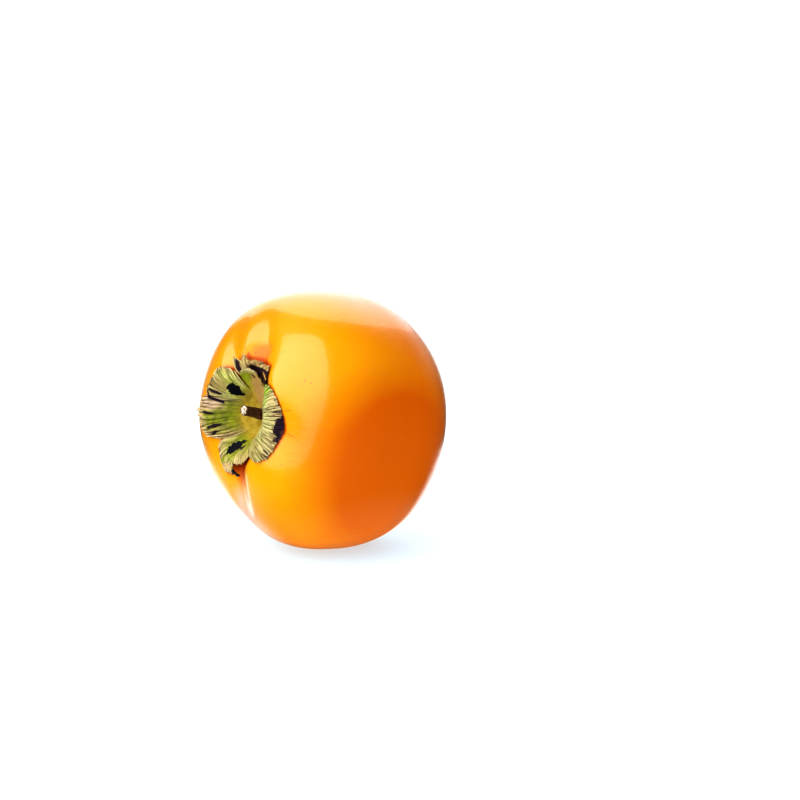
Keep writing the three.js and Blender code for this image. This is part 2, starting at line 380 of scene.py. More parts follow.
# scars and specks of the skin: azimuth, distance from the axis, half their length and width, and how
# far they are turned from pointing at the axis
SPECKS = (
    (9.5, 18.5, 1.1, 0.13, 2.0),
    (350.0, 19.9, 1.7, 0.13, -8.0),
    (336.0, 16.8, 0.7, 0.12, -10.0),
    (28.0, 24.5, 0.50, 0.14, 60.0),
    (25.5, 25.8, 0.40, 0.14, 50.0),
    (81.0, 15.6, 0.22, 0.22, 0.0),
    (92.0, 16.6, 0.25, 0.20, 0.0),
    (104.0, 17.8, 0.20, 0.18, 0.0),
    (122.0, 20.3, 0.25, 0.15, 30.0),
    (327.0, 21.0, 0.22, 0.18, 0.0),
)


def ripeness_and_shade(n, own):
    """How far the skin has turned from gold, 0, to deep orange, 1: partly ripening, partly painted shade
    on the sides turned away from the key light.
    """
    ripe_and_shaded = n.step(n.vector("DISTANCE", own, DEEP_AND_SHADED_SIDE, "Value"), 32.5, 9.0)
    apex_side = n.step(n.part(own, 2), 24.0, -12.0)
    lower_side = n.step(n.part(own, 1), -12.0, -34.0)
    upper_lobe = n.step(n.vector("DISTANCE", own, UPPER_LOBE, "Value"), 22.0, 4.0)
    for place, share in ((apex_side, 0.8), (lower_side, 0.4), (upper_lobe, 0.35)):
        ripe_and_shaded = n.scaled(place, share, ripe_and_shaded)
    clouds = n.scaled(n.noise(own, 0.045), 0.5, -0.25)
    return n.math("ADD", ripe_and_shaded, clouds, clamp=True)


def skin_colour(n, own, distance, calyx_side):
    """Gold to deep orange, and over it what reddens, marks or pales the skin, from below to above:
    painted shade reddens it in the calyx's bowl, beside the sepals and in the grooves, and a painted
    highlight with wax bloom pales it by the lower groove.
    """
    dots = n.step(n.noise(own, 2.6, 1.0), 0.70, 0.78)
    flush = n.blot(own, *FLUSH, ragged=0.45, scale=0.25, softness=0.5)
    apex = n.times(n.step(distance, 9.0, 1.0), n.step(n.part(own, 2), 0.0, -8.0))
    # painted shade: a red rim on the skin just outside the sepals' edges
    shade_beside_sepals = n.step(n.attribute("past_sepals"), 1.0, 0.1)
    covers = (
        (dots, 0.25, (0.75, 0.4, 0.05)),
        (n.times(flush, calyx_side), 0.6, (0.72, 0.11, 0.03)),
        # painted shade: the skin reddens in the calyx's bowl, under the sepals
        (n.times(n.step(distance, 15.5, 10.0), calyx_side), 0.8, SHADED_RED_SKIN),
        (apex, 0.5, (0.42, 0.07, 0.004)),
        (shade_beside_sepals, 0.75, SHADED_RED_SKIN),
    )
    colour = n.mix(ripeness_and_shade(n, own), GOLD_SKIN, DEEP_SKIN)
    for cover, strength, tint in covers:
        colour = n.mix(n.times(cover, strength), colour, tint)
    # painted shade: the grooves redden where they run into the calyx
    groove_shade = n.times(n.step(n.attribute("groove"), 1.2, 2.4), n.step(distance, 24.0, 16.0))
    colour = n.mix(groove_shade, colour, (0.60, 0.07, 0.001))
    for azimuth, away, length, width, heading in SPECKS:
        middle = (away * cos(radians(azimuth)), away * sin(radians(azimuth)))
        speck = n.blot(own, middle, (length, width), azimuth + heading, ragged=0.8, scale=3.0)
        colour = n.mix(n.times(speck, 0.7), colour, (0.30, 0.07, 0.02))
    streaks = n.step(n.grain(own, (0.9, 0.10, 0.10)), 0.25, 0.6)
    # painted highlight and wax bloom: a pale streaked band by the lower groove
    glint_and_bloom = n.blot(own, *GLINT_AND_BLOOM, ragged=0.4, scale=0.2, softness=0.7)
    glint_and_bloom = n.times(glint_and_bloom, n.scaled(streaks, 0.4, 0.35))
    glint_and_bloom = n.times(glint_and_bloom, calyx_side)
    return n.mix(glint_and_bloom, colour, (0.80, 0.37, 0.32))


def skin_material():
    n, own = material_of("skin")
    calyx_side = n.step(n.part(own, 2), 0.0, 8.0)
    matt = n.times(n.blot(own, *MATT, ragged=0.3, scale=0.3, softness=0.25), calyx_side)
    sheen = n.scaled(n.noise(own, 0.25), 0.08, 0.07)
    pores = n.noise(own, 1.1, 4.0, 0.6)
    return n.finish(
        base_color=skin_colour(n, own, n.attribute("axis_distance"), calyx_side),
        roughness=n.blend(matt, sheen, 0.55),
        normal=n.bump(pores, 0.3, 0.0005),
        ior=1.5,
        coat_weight=n.blend(matt, 0.9, 0.0),
        coat_roughness=0.07,
        subsurface_weight=0.12,
        subsurface_radius=(1.0, 0.35, 0.08),
        subsurface_scale=0.003,
    )


# where the calyx has dried tan towards the top: middle, half its size, and heading
DRIED_GROUND = ((1.2, 6.6), (3.6, 5.2), 0.0)


def calyx_ground(n, place, distance):
    """The colours that the calyx's disc and the sepals' inner ends share."""
    mottle = n.step(n.noise(place, 0.5, 4.0, 0.6), 0.3, 0.7)
    gold = n.mix(mottle, (0.30, 0.20, 0.012), (0.42, 0.30, 0.04))
    green = n.mix(mottle, (0.16, 0.17, 0.003), (0.28, 0.29, 0.008))
    ground = n.mix(n.step(distance, 6.0, 10.0), gold, green)
    dried = n.blot(place, *DRIED_GROUND, ragged=0.3, scale=0.45, softness=0.2)
    return n.mix(n.times(dried, 0.85), ground, (0.38, 0.22, 0.075))


def calyx_disc_material():
    n, own = material_of("calyx_disc")
    colour = calyx_ground(n, own, n.attribute("axis_distance"))
    fuzz = n.noise(own, 3.0, 4.0, 0.6)
    colour = n.mix(n.times(n.step(fuzz, 0.45, 0.7), 0.3), colour, (0.14, 0.08, 0.01))
    bump = n.bump(fuzz, 0.5, 0.0003)
    return n.finish(
        base_color=colour, roughness=0.85, normal=bump, specular_ior_level=0.2, sheen_weight=0.1
    )


def threads(n, sheet, across, along):
    """Thin irregular lines that run along a sepal. across and along set how closely they lie."""
    field = n.grain(sheet, (across, along, 1.0), 3.0, 0.6)
    return n.step(n.math("ABSOLUTE", n.math("SUBTRACT", field, 0.5)), 0.05, 0.015)


def weathered(n, colour, sheet, out, lined, ridge, crease):
    """A sepal's colour with its folds, threads and veins drawn in: painted shade in the folds' creases,
    and on their crests a pale colour, partly dried tan and partly a painted highlight.

    out: how far out on the sepal; lined: how strong the painted shade in its folds and its threads are;
    ridge and crease: the colours of the folds' crests and creases.
    """
    fold = n.attribute("fold")
    # painted shade in the folds' creases
    shade = n.times(n.step(fold, 0.1, -0.8), 0.5 * lined)
    colour = n.mix(shade, colour, (0.035, 0.045, 0.002))
    outer = n.times(n.times(out, out), 0.8)
    # pale crests further out: dried tan, and a painted highlight
    dry_and_lit_ridge = n.times(n.step(fold, 0.0, 0.7), outer)
    colour = n.mix(dry_and_lit_ridge, colour, ridge)
    patchy = n.step(n.grain(sheet, (0.6, 1.4, 1.0)), 0.40, 0.58)
    # painted shade, darker in the outer creases
    crease_shade = n.times(n.step(fold, -0.1, -0.7), n.scaled(patchy, 0.7, 0.3))
    colour = n.mix(n.times(crease_shade, out), colour, crease)
    lines = n.times(threads(n, sheet, 1.5, 0.9), n.times(out, lined))
    colour = n.mix(lines, colour, (0.06, 0.024, 0.015))
    veins = n.times(threads(n, sheet, 3.2, 0.8), n.times(out, 0.3))
    return n.mix(veins, colour, ridge)


def leathery(n, colour, sheet):
    fine = n.grain(sheet, (3.0, 2.0, 1.0), 4.0, 0.6)
    bump = n.bump(fine, 0.6, 0.0003)
    return n.finish(base_color=colour, roughness=0.6, normal=bump, specular_ior_level=0.2)


# how each sepal that is still partly green looks, as sepal_material() takes it
TAN = (0.44, 0.30, 0.14)
SEPAL_LOOKS = {
    "sepal_upper_left": {
        # paler than the other green sepals: partly its own colour, partly painted light on its top,
        # which faces the key light
        "ground": ((0.32, 0.33, 0.05), (0.50, 0.48, 0.15)),
        "ridge": (0.58, 0.53, 0.24),
        "dry": TAN,
        "dry_from": 2.0,
        "worn_from": 7.0,
        "lined": 0.8,
        "stains": (((-12.6, 6.0), (4.5, 3.4), 0.0, (0.26, 0.19, 0.06)),),
        "blots": (
            ((-6.5, 5.8), (1.4, 1.7), 20.0, BLACK),
            ((-6.0, 5.1), (1.1, 0.8), -30.0, BLACK),
            ((-15.8, 4.4), (2.4, 0.8), -60.0, PURPLE),
            # painted shade along its lower edge, where it overhangs the left sepal
            ((-12.2, 4.4), (2.6, 0.4), 170.0, PURPLE),
        ),
    },
    "sepal_left": {
        "ground": ((0.11, 0.13, 0.002), (0.25, 0.27, 0.006)),
        "ridge": (0.60, 0.45, 0.25),
        "dry": (0.53, 0.36, 0.18),
        "dry_from": 7.0,
        "worn_from": 10.0,
        "lined": 0.7,
        "stains": (((-16.5, 1.0), (5.0, 2.0), 0.0, (0.50, 0.35, 0.22)),),
        "blots": (
            ((-16.4, -1.9), (2.6, 0.4), 2.0, PURPLE),
            ((-13.1, -5.2), (2.8, 0.4), 22.0, PURPLE),
            ((-12.3, -7.0), (1.2, 0.5), 30.0, PURPLE),
            # painted shade under the upper-left sepal's overhanging edge
            ((-14.0, 2.2), (3.2, 0.5), 170.0, PURPLE),
        ),
    },
    "sepal_bottom": {
        "ground": ((0.15, 0.17, 0.003), (0.31, 0.33, 0.010)),
        "ridge": (0.52, 0.43, 0.20),
        "dry": TAN,
        "dry_from": 3.5,
        "worn_from": 9.0,
        "lined": 0.5,
        "stains": (((-6.2, -16.6), (3.4, 2.4), 0.0, TAN),),
        "blots": (
            ((-5.0, -9.8), (3.0, 1.3), 43.0, BLACK),
            ((-1.5, -9.5), (1.4, 0.5), 20.0, PURPLE),
        ),
    },
    "sepal_right": {
        "ground": ((0.32, 0.30, 0.10), (0.46, 0.42, 0.17)),
        "ridge": (0.48, 0.41, 0.19),
        "dry": TAN,
        "dry_from": 4.0,
        "worn_from": 9.0,
        "lined": 1.0,
        "stains": (
            ((9.4, 7.2), (3.0, 4.4), -15.0, (0.22, 0.37, 0.010)),
            ((9.0, -11.0), (4.0, 5.0), 0.0, (0.30, 0.25, 0.05)),
        ),
        "blots": (
            ((17.0, -2.2), (1.9, 4.2), -8.0, PURPLE),
            ((17.2, -3.4), (0.5, 1.3), -20.0, (0.07, 0.028, 0.030)),
        ),
    },
}


def sepal_material(name, ground, ridge, dry, dry_from, worn_from, lined, stains, blots):
    """A sepal that is still partly green.

    ground: two shades of its middle; ridge: the colour of its folds' crests further out, partly dried
    tan and partly a painted highlight; dry: the colour its edge has dried to; dry_from and worn_from:
    how near the edge it has dried and shows its folds; lined: how strong the brown threads and the
    painted shade in its folds are; stains and blots: middle, size, heading and colour of patches, the
    stains under the folds' colours and the blots over them; a few blots are painted shade where one
    sepal overhangs another.
    """
    n, own = material_of(name)
    sheet = n.attribute("sheet", "Vector")
    edge = n.attribute("edge")
    base = n.step(n.part(sheet, 1), 0.2, 1.1)
    outer = n.mix(n.step(n.noise(own, 0.45, 4.0, 0.6), 0.35, 0.65), *ground)
    colour = n.mix(base, calyx_ground(n, own, n.attribute("axis_distance")), outer)
    streaked = n.grain(sheet, (0.9, 1.6, 1.0), 4.0, 0.6)
    to_edge = n.math("ADD", edge, n.scaled(streaked, 4.0, -2.0))
    dryness = n.step(to_edge, dry_from, 0.0)
    colour = n.mix(n.times(dryness, 0.9), colour, dry)
    for middle, size, heading, patch in stains:
        stain = n.blot(own, middle, size, heading, ragged=0.5, scale=0.6, softness=0.4)
        colour = n.mix(stain, colour, patch)
    out = n.times(base, n.step(to_edge, worn_from, 1.0))
    colour = weathered(n, colour, sheet, out, lined, ridge, (0.03, 0.016, 0.010))
    for middle, size, heading, patch in blots:
        colour = n.mix(n.blot(own, middle, size, heading, ragged=0.8, scale=0.9), colour, patch)
    colour = n.mix(n.step(n.attribute("dark"), 0.4, 0.6), colour, BLACK)
    return leathery(n, colour, sheet)


# a lighter strip across the dark hollow of the top sepal: middle, half its size, and heading
GOLDEN_STRIP = ((6.9, 10.8), (1.9, 0.4), -35.0)


def torn_sepal_material():
    """The top sepal, dried brown: its tone turns from pale to golden brown, and its hollows are painted
    dark as shade.
    """
    n, own = material_of("sepal_top")
    sheet = n.attribute("sheet", "Vector")
    distance = n.attribute("axis_distance")
    mottle = n.noise(own, 0.8, 4.0, 0.6)
    pale = n.mix(n.step(mottle, 0.35, 0.6), (0.34, 0.28, 0.10), (0.54, 0.47, 0.22))
    brown = n.mix(n.step(mottle, 0.35, 0.65), (0.18, 0.09, 0.018), (0.42, 0.26, 0.06))
    colour = n.mix(n.attribute("tone"), pale, brown)
    colour = weathered(n, colour, sheet, 1.0, 0.5, (0.54, 0.43, 0.20), (0.09, 0.045, 0.02))
    colour = n.mix(n.step(distance, 11.8, 10.6), colour, calyx_ground(n, own, distance))
    # painted shade in the hollows and under the curls, from the pieces' darkness
    shade = n.math("ADD", n.attribute("dark"), n.scaled(mottle, 0.8, -0.4))
    colour = n.mix(n.step(shade, 0.35, 0.6), colour, (0.035, 0.014, 0.018))
    strip = n.blot(own, *GOLDEN_STRIP, ragged=0.4, scale=1.2, softness=0.3)
    return leathery(n, n.mix(strip, colour, (0.50, 0.30, 0.05)), sheet)


def bark_material():
    n, own = material_of("stem_bark")
    long_grain = n.grain(own, (2.2, 2.2, 0.6), 5.0, 0.65)
    bark = n.mix(n.step(long_grain, 0.35, 0.7), (0.03, 0.010, 0.006), (0.16, 0.06, 0.03))
    cut = n.attribute("cut")
    cracked = n.step(n.noise(own, 1.6, 4.0, 0.6), 0.42, 0.62)
    pith = n.mix(cracked, (0.75, 0.62, 0.45), (0.1, 0.05, 0.03))
    ring = n.mix(n.step(cut, 0.25, 0.5), bark, (0.2, 0.08, 0.09))
    colour = n.mix(n.step(cut, 0.6, 0.8), ring, pith)
    bump = n.bump(long_grain, 0.8, 0.0004)
    return n.finish(base_color=colour, roughness=0.7, normal=bump)


def style_material():
    n, own = material_of("dry_style")
    grain = n.noise(own, 2.5, 4.0, 0.6)
    colour = n.mix(grain, (0.01, 0.006, 0.004), (0.07, 0.035, 0.02))
    return n.finish(base_color=colour, roughness=0.7)


# ---------- the pieces ----------

SETTLING = 0.12 * MM  # how gently the skin turns into the flat spot
DISC_RADIUS = 8.2
DISC_LIFT, DISC_UNDERSIDE = 0.25, 0.1  # how far its rim is off the skin, and its underside above that
DISC_EDGE, DISC_SWELL, DISC_GRAIN = 0.15, 1.1, 0.12  # its top above its rim, its swell and its grain
STEM_LENGTH, STEM_RADIUS, STEM_TAPER = 8.0, 1.6, 0.32
STEM_FLARE, FLARE_FROM = 0.10, 0.86  # how much it widens at its end, and at which share of its length
STEM_FOOT, STEM_LEAN = 0.6, 0.75  # its foot above the bowl's bottom, and its end off the axis
CUT_SINK = 0.5  # how steeply its cut end sinks in from its rim
BARK_SHARE = 0.86  # of the rings of the stem's mesh; the others round off its cut end
STYLE_RADIUS, STYLE_LENGTH, STYLE_SUNK = 1.1, 1.7, 0.2


def axis_distance(points):
    return np.hypot(points[..., 0], points[..., 1])


def past_sepals(own):
    """How far points of the skin are outside the sepals' outlines, seen along the axis."""
    azimuth = np.degrees(np.arctan2(own[:, 1], own[:, 0]))
    outlines = [shape["outline"] for shape in SEPALS.values()]
    outlines += [sorted(zip(piece["azimuths"][-1], piece["distances"][-1])) for piece in TORN_SEPAL]
    reach = np.zeros_like(azimuth)
    for outline in outlines:
        at, far = np.array(outline, dtype=float).T
        turn = (azimuth - at[0]) % 360.0 + at[0]
        reach = np.maximum(reach, np.interp(turn, at, far, right=0.0))
    return np.where(own[:, 2] > 0.0, axis_distance(own) - reach, EQUATOR_RADIUS)


def settled(own):
    """Where the skin's points lie once the fruit has settled onto its flat spot."""
    placed = rest(own)
    floor = box_low[2]
    above = placed[..., 2] - floor
    placed[..., 2] = floor + 0.5 * (above + np.sqrt(above**2 + SETTLING**2)) - 0.5 * SETTLING
    placed[..., 2] = np.maximum(placed[..., 2], floor)
    return placed


def fruit():
    own = capped(own_points)
    return round_piece(
        "fruit",
        own_points,
        skin_material(),
        settled,
        axis_distance=axis_distance(own),
        groove=capped(groove_depth),
        past_sepals=past_sepals(own),
    )


def calyx_disc():
    around, rings = 160, 60
    turn = np.linspace(0.0, pi, rings)
    azimuth, polar = np.meshgrid(np.arange(around) * 360.0 / around, turn)
    distance = DISC_RADIUS * np.sin(polar)
    middle = smoothstep(DISC_RADIUS, 1.5, distance)
    grain = DISC_GRAIN * uneven(np.radians(azimuth) * distance, distance, 5, 3.0)
    top = DISC_EDGE + DISC_SWELL * middle + grain * (distance > 0.5)
    above_rim = np.where(polar < pi / 2.0, top, DISC_UNDERSIDE) * np.abs(np.cos(polar)) ** 0.35
    lift = above_rim + DISC_LIFT
    points, _ = calyx_surface(azimuth, np.maximum(distance, 0.01), lift)
    from_axis = axis_distance(capped(points))
    return round_piece("calyx_disc", points, calyx_disc_material(), axis_distance=from_axis)


SEPAL_BASE = 5.0  # a sepal's inner end, as a distance from the axis
WIDTH_DISTANCE = 13.0  # the distance from the axis at which a sepal's width is taken
LEAST_LIFT, SKIN_GAP = 0.3, 0.1  # of a sepal's upper side, and between its lower side and the skin
EDGE_THICKNESS, THICKNESS = 0.2, 0.5
SEPAL_GRID, TORN_GRID = (120, 260), (90, 130)  # how many mesh points lie along and across a sheet
TORN_LENGTH, TORN_WIDTH_DISTANCE = 6.0, 12.0  # a torn piece's length, and where its width is taken
ALONG_UNIT = 5.0  # the materials count a place across a sheet in mm, and along it in steps of this
JOINED_LENGTH = 5.0  # how much further off a sheet's sides count at its base, where sepals are joined

# outline: azimuth and reach of the edge. sides: the azimuths of the first and the last side at the
# base, halfway and at the edge. lifts: how far the sheet stands off the fruit, from its base to its
# edge, on lines from its first side to its last. folds: how many run along it, how high they are, and
# how far out they start.
SEPALS = {
    "sepal_upper_left": {
        "outline": (
            (120, 12.2), (124, 13.6), (132, 15.4), (142, 17.2), (152, 17.9), (160, 17.6),
            (166, 18.0), (169, 16.0),
        ),
        "sides": ((119, 119, 120), (146, 160, 169)),
        "lifts": (
            (0.4, 0.5, 0.7, 0.9, 0.8, 0.3),
            (0.4, 0.9, 1.6, 1.9, 1.4, 0.3),
            (0.4, 1.3, 2.3, 2.4, 1.7, 0.5),
            (0.4, 1.2, 2.0, 2.2, 1.8, 1.0),
        ),
        "folds": (10, 0.30, 0.45),
        "seed": 12,
    },
    "sepal_left": {
        "outline": (
            (170, 17.2), (174, 20.2), (180, 22.2), (189, 23.2), (197, 22.3), (204, 19.6),
            (209, 17.4), (213, 14.8),
        ),
        "sides": ((148, 160, 170), (231, 226, 213)),
        "lifts": (
            (0.4, 0.4, 0.4, 0.4, 0.5, 0.7),
            (0.4, 0.4, 0.4, 0.5, 0.8, 0.6),
            (0.4, 0.4, 0.5, 0.7, 0.7, 0.3),
            (0.4, 0.5, 0.6, 0.6, 0.5, 0.3),
        ),
        "folds": (12, 0.85, 0.15),
        "seed": 13,
    },
    "sepal_bottom": {
        "outline": (
            (219, 12.6), (222, 15.6), (229, 16.6), (235, 17.8), (241, 19.3), (250, 18.5),
            (256, 16.6), (260, 14.8), (275, 13.9), (292, 13.5), (308, 12.0),
        ),
        "sides": ((233, 228, 219), (300, 304, 308)),
        "lifts": (
            (0.4, 0.6, 0.9, 0.9, 0.7, 0.4),
            (0.4, 0.6, 0.8, 0.8, 0.8, 0.6),
            (0.4, 0.6, 1.0, 1.1, 1.0, 0.6),
            (0.4, 0.6, 0.8, 0.9, 0.7, 0.4),
        ),
        "folds": (13, 0.34, 0.40),
        "seed": 14,
    },
    "sepal_right": {
        "outline": (
            (-58, 12.0), (-50, 15.4), (-40, 16.7), (-30, 16.8), (-18, 17.0), (-7, 17.7),
            (2, 17.1), (12, 16.2), (24, 15.4), (34, 14.6), (42, 13.2), (48, 11.8),
        ),
        "sides": ((-58, -58, -58), (48, 48, 48)),
        "lifts": (
            (0.4, 0.9, 1.4, 1.4, 0.9, 0.4),
            (0.4, 1.5, 2.6, 2.5, 1.6, 0.4),
            (0.4, 1.5, 2.6, 2.4, 1.3, 0.3),
            (0.4, 0.5, 0.7, 0.9, 0.8, 0.5),
        ),
        "folds": (22, 0.28, 0.20),
        "seed": 15,
    },
}

# Torn and curled pieces of sepals, each as grids with rows from its base out: azimuths, distances from
# the axis, lifts, and how dark it is, which on the top sepal is painted shade in its hollow and under
# its curled edges. tone: from 0, pale, to 1, brown.
TORN_ROLL = {
    "azimuths": (
        (118, 104, 88, 72, 60),
        (117, 102, 87, 72, 61),
        (114, 100, 86, 73, 62),
        (110, 98, 85, 74, 63),
        (109, 97, 84, 74, 63),
        (108, 96, 83, 74, 63),
    ),
    "distances": (
        (8.0, 8.0, 8.0, 8.0, 7.5),
        (10.4, 10.6, 10.8, 10.4, 9.0),
        (11.6, 11.8, 11.6, 10.8, 9.4),
        (12.2, 12.7, 12.6, 11.5, 9.9),
        (12.4, 13.0, 12.9, 11.8, 10.2),
        (12.4, 13.0, 12.9, 11.8, 10.3),
    ),
    "lifts": (
        (0.4, 0.4, 0.4, 0.4, 0.4),
        (0.5, 0.5, 0.5, 0.5, 0.4),
        (1.0, 1.4, 1.5, 1.3, 0.9),
        (1.5, 1.9, 2.0, 1.7, 1.1),
        (1.2, 1.5, 1.5, 1.2, 0.8),
        (0.7, 0.8, 0.8, 0.7, 0.5),
    ),
    "darkness": (
        (0, 0, 0, 0, 0),
        (0, 0, 0, 0, 0),
        (0, 0, 0, 0, 0),
        (0, 0, 0, 0, 0),
        (0.3, 0.5, 0.5, 0.5, 0.5),
        (1, 1, 1, 1, 1),
    ),
    "folds": (8, 0.2, 0.3),
    "tone": 0.1,
    "seed": 21,
}
TORN_HOLLOW = {
    "azimuths": (
        (107, 98, 90, 78, 66, 52),
        (107, 98, 90, 78, 66, 52),
        (106, 98, 90, 78, 66, 53),
        (106, 99, 91, 78, 66, 54),
        (106, 100, 92, 78, 66, 55),
        (105, 100, 94, 78, 66, 56),
    ),
    "distances": (
        (10, 10, 10, 10, 10, 10),
        (11.8, 12.2, 12.6, 12.6, 12.8, 12.8),
        (12.8, 13.3, 13.6, 13.4, 13.9, 14.7),
        (13.4, 14.2, 14.1, 14.0, 14.5, 15.4),
        (13.9, 15.0, 14.7, 14.8, 15.2, 16.1),
        (14.0, 16.3, 15.0, 15.2, 15.6, 16.5),
    ),
    "lifts": (
        (0.4, 0.4, 0.4, 0.4, 0.4, 0.4),
        (1.0, 1.2, 0.5, 0.4, 0.4, 0.4),
        (1.4, 1.6, 0.8, 0.6, 0.5, 0.4),
        (1.5, 1.7, 1.4, 1.1, 0.9, 0.7),
        (1.4, 1.6, 1.5, 1.3, 1.0, 0.7),
        (0.9, 1.2, 1.0, 0.9, 0.6, 0.4),
    ),
    "darkness": (
        (0.0, 0.2, 0.9, 1.0, 1.0, 1.0),
        (0.0, 0.1, 1.0, 1.0, 1.0, 1.0),
        (0.0, 0.0, 0.7, 1.0, 1.0, 1.0),
        (0.0, 0.0, 0.0, 0.0, 0.0, 0.1),
        (0, 0, 0, 0, 0, 0),
        (0.0, 0.0, 0.1, 0.1, 0.1, 0.2),
    ),
    "folds": (7, 0.12, 0.3),
    "tone": 0.9,
    "seed": 22,
}
TORN_SPIKE = {
    "azimuths": (
        (117, 113, 110),
        (117, 113, 108),
        (116, 111, 106),
        (114, 111, 107),
    ),
    "distances": (
        (11.4, 11.4, 11.4),
        (12.9, 12.9, 12.9),
        (14.3, 14.2, 14.0),
        (15.8, 15.2, 14.8),
    ),
    "lifts": (
        (0.5, 0.5, 0.5),
        (0.8, 0.5, 0.6),
        (1.0, 0.6, 1.0),
        (1.2, 0.9, 1.2),
    ),
    "darkness": (
        (0.2, 0.6, 0.6),
        (0.0, 1.0, 1.0),
        (0.0, 1.0, 0.3),
        (0.0, 0.4, 0.0),
    ),
    "folds": (3, 0.1, 0.2),
    "tone": 0.2,
    "seed": 23,
}
TORN_SEPAL = (TORN_ROLL, TORN_HOLLOW, TORN_SPIKE)
BOTTOM_HOOK = {
    "azimuths": (
        (236, 245, 255, 264, 276),
        (236, 245, 255, 265, 278),
        (236, 245, 255, 265, 279),
    ),
    "distances": (
        (15.6, 16.4, 15.9, 16.0, 16.3),
        (17.2, 17.8, 16.9, 16.4, 16.6),
        (18.2, 19.2, 18.0, 17.2, 17.0),
    ),
    "lifts": (
        (0.7, 0.8, 0.9, 0.8, 0.6),
        (1.0, 1.2, 1.2, 1.0, 0.8),
        (0.5, 0.6, 0.6, 0.5, 0.4),
    ),
    "darkness": (
        (0.0, 0.0, 0.1, 0.6, 1.0),
        (0.0, 0.0, 0.1, 0.7, 1.0),
        (0.0, 0.0, 0.2, 0.8, 1.0),
    ),
    "folds": (6, 0.14, 0.0),
    "tone": 0.0,
    "seed": 24,
}


def spline(values, x):
    """A smooth curve through evenly spaced values, each a grid or a number, at x from 0 to 1."""
    values = np.stack(np.broadcast_arrays(*values))
    last = len(values) - 1
    place = np.clip(x, 0.0, 1.0) * last
    cell = np.minimum(place.astype(int), last - 1)
    t = place - cell

    def value(step):
        index = np.clip(cell + step, 0, last)
        return np.take_along_axis(values, index[None], 0)[0] if values.ndim > 1 else values[index]

    before, here, there, after = (value(step) for step in (-1, 0, 1, 2))
    bend = (2.0 * before - 5.0 * here + 4.0 * there - after) * t**2
    bend += (3.0 * (here - there) + after - before) * t**3
    return here + 0.5 * ((there - before) * t + bend)


def grid_of(rows, columns):
    """How far along and how far across a sheet the points of its mesh are, each from 0 to 1."""
    return np.meshgrid(np.linspace(0.0, 1.0, rows), np.linspace(0.0, 1.0, columns), indexing="ij")


def folded(along, across, width, folds, seed):
    """Rounded folds with sharp creases between them: from -1 in a crease to 1 on a crest, and in mm."""
    count, height, start = folds
    wander = uneven(across * width, along * 4.0, seed + 300, 6.0, 2)
    phase = count * across + 0.8 * wander
    strength = np.random.default_rng(seed + 400).uniform(0.5, 1.0, 4 * count)
    crest = np.abs(np.sin(pi * phase)) ** 0.6 * strength[np.floor(phase).astype(int) % len(strength)]
    return 2.0 * crest - 1.0, height * (crest - 0.5) * smoothstep(start, start + 0.4, along)


def sheet_of(upper, facing, lift, along, across, width, length, fold, tone=0.0, dark=0.0):
    """A thin sheet from its upper side: the points of both sides and what its material reads there.

    lift: how far its upper side is off the fruit's skin, which its lower side must not reach.
    """
    normal = np.cross(np.gradient(upper, axis=1), np.gradient(upper, axis=0))
    normal *= np.sign((normal * facing).sum())
    normal /= np.linalg.norm(normal, axis=-1, keepdims=True)
    beside = np.minimum(across, 1.0 - across) * width + JOINED_LENGTH * (1.0 - along)
    edge = np.minimum((1.0 - along) * length, beside)
    thickness = EDGE_THICKNESS + (THICKNESS - EDGE_THICKNESS) * smoothstep(0.0, 1.2, edge)
    thickness = np.minimum(thickness, lift - SKIN_GAP)
    lower = upper - normal * thickness[..., None]
    own = np.stack([upper, lower]).reshape(-1, 3)

    def twice(values):
        return np.stack([np.broadcast_to(values, along.shape)] * 2).ravel()

    place = [twice((across - 0.5) * width), twice(along * length / ALONG_UNIT), twice(0.0)]
    layers = {
        "own": own,
        "axis_distance": axis_distance(own),
        "sheet": np.stack(place, -1),
        "edge": twice(edge),
        "fold": twice(fold),
        "tone": twice(tone),
        "dark": twice(dark),
    }
    return along.shape, layers


def whole_sepal(outline, sides, lifts, folds, seed):
    along, across = grid_of(*SEPAL_GRID)
    first, last = (spline(side, along) for side in sides)
    azimuth = first + (last - first) * across
    knots = np.array(outline, dtype=float)
    at_edge = knots[0, 0] + (knots[-1, 0] - knots[0, 0]) * across
    reach = sum(np.interp(at_edge + step, knots[:, 0], knots[:, 1]) for step in (-1.2, 0.0, 1.2)) / 3.0
    width = radians(knots[-1, 0] - knots[0, 0]) * WIDTH_DISTANCE
    fold, raised = folded(along, across, width, folds, seed)
    reach = reach + 0.3 * uneven(across * width, 0.0 * across, seed, 2.2, 4)
    near_edge = smoothstep(0.7, 1.0, along)
    _, fold_height, _ = folds
    distance = SEPAL_BASE + along * (reach - SEPAL_BASE) + 0.5 * fold_height * fold * near_edge
    curl = 0.25 * uneven(across * width, along, seed + 200, 3.0, 3) * near_edge
    lift = spline([spline(values, along) for values in lifts], across) + raised + curl
    lift = np.maximum(lift, LEAST_LIFT)
    upper, facing = calyx_surface(azimuth, distance, lift)
    return sheet_of(upper, facing, lift, along, across, width, reach - SEPAL_BASE, fold)


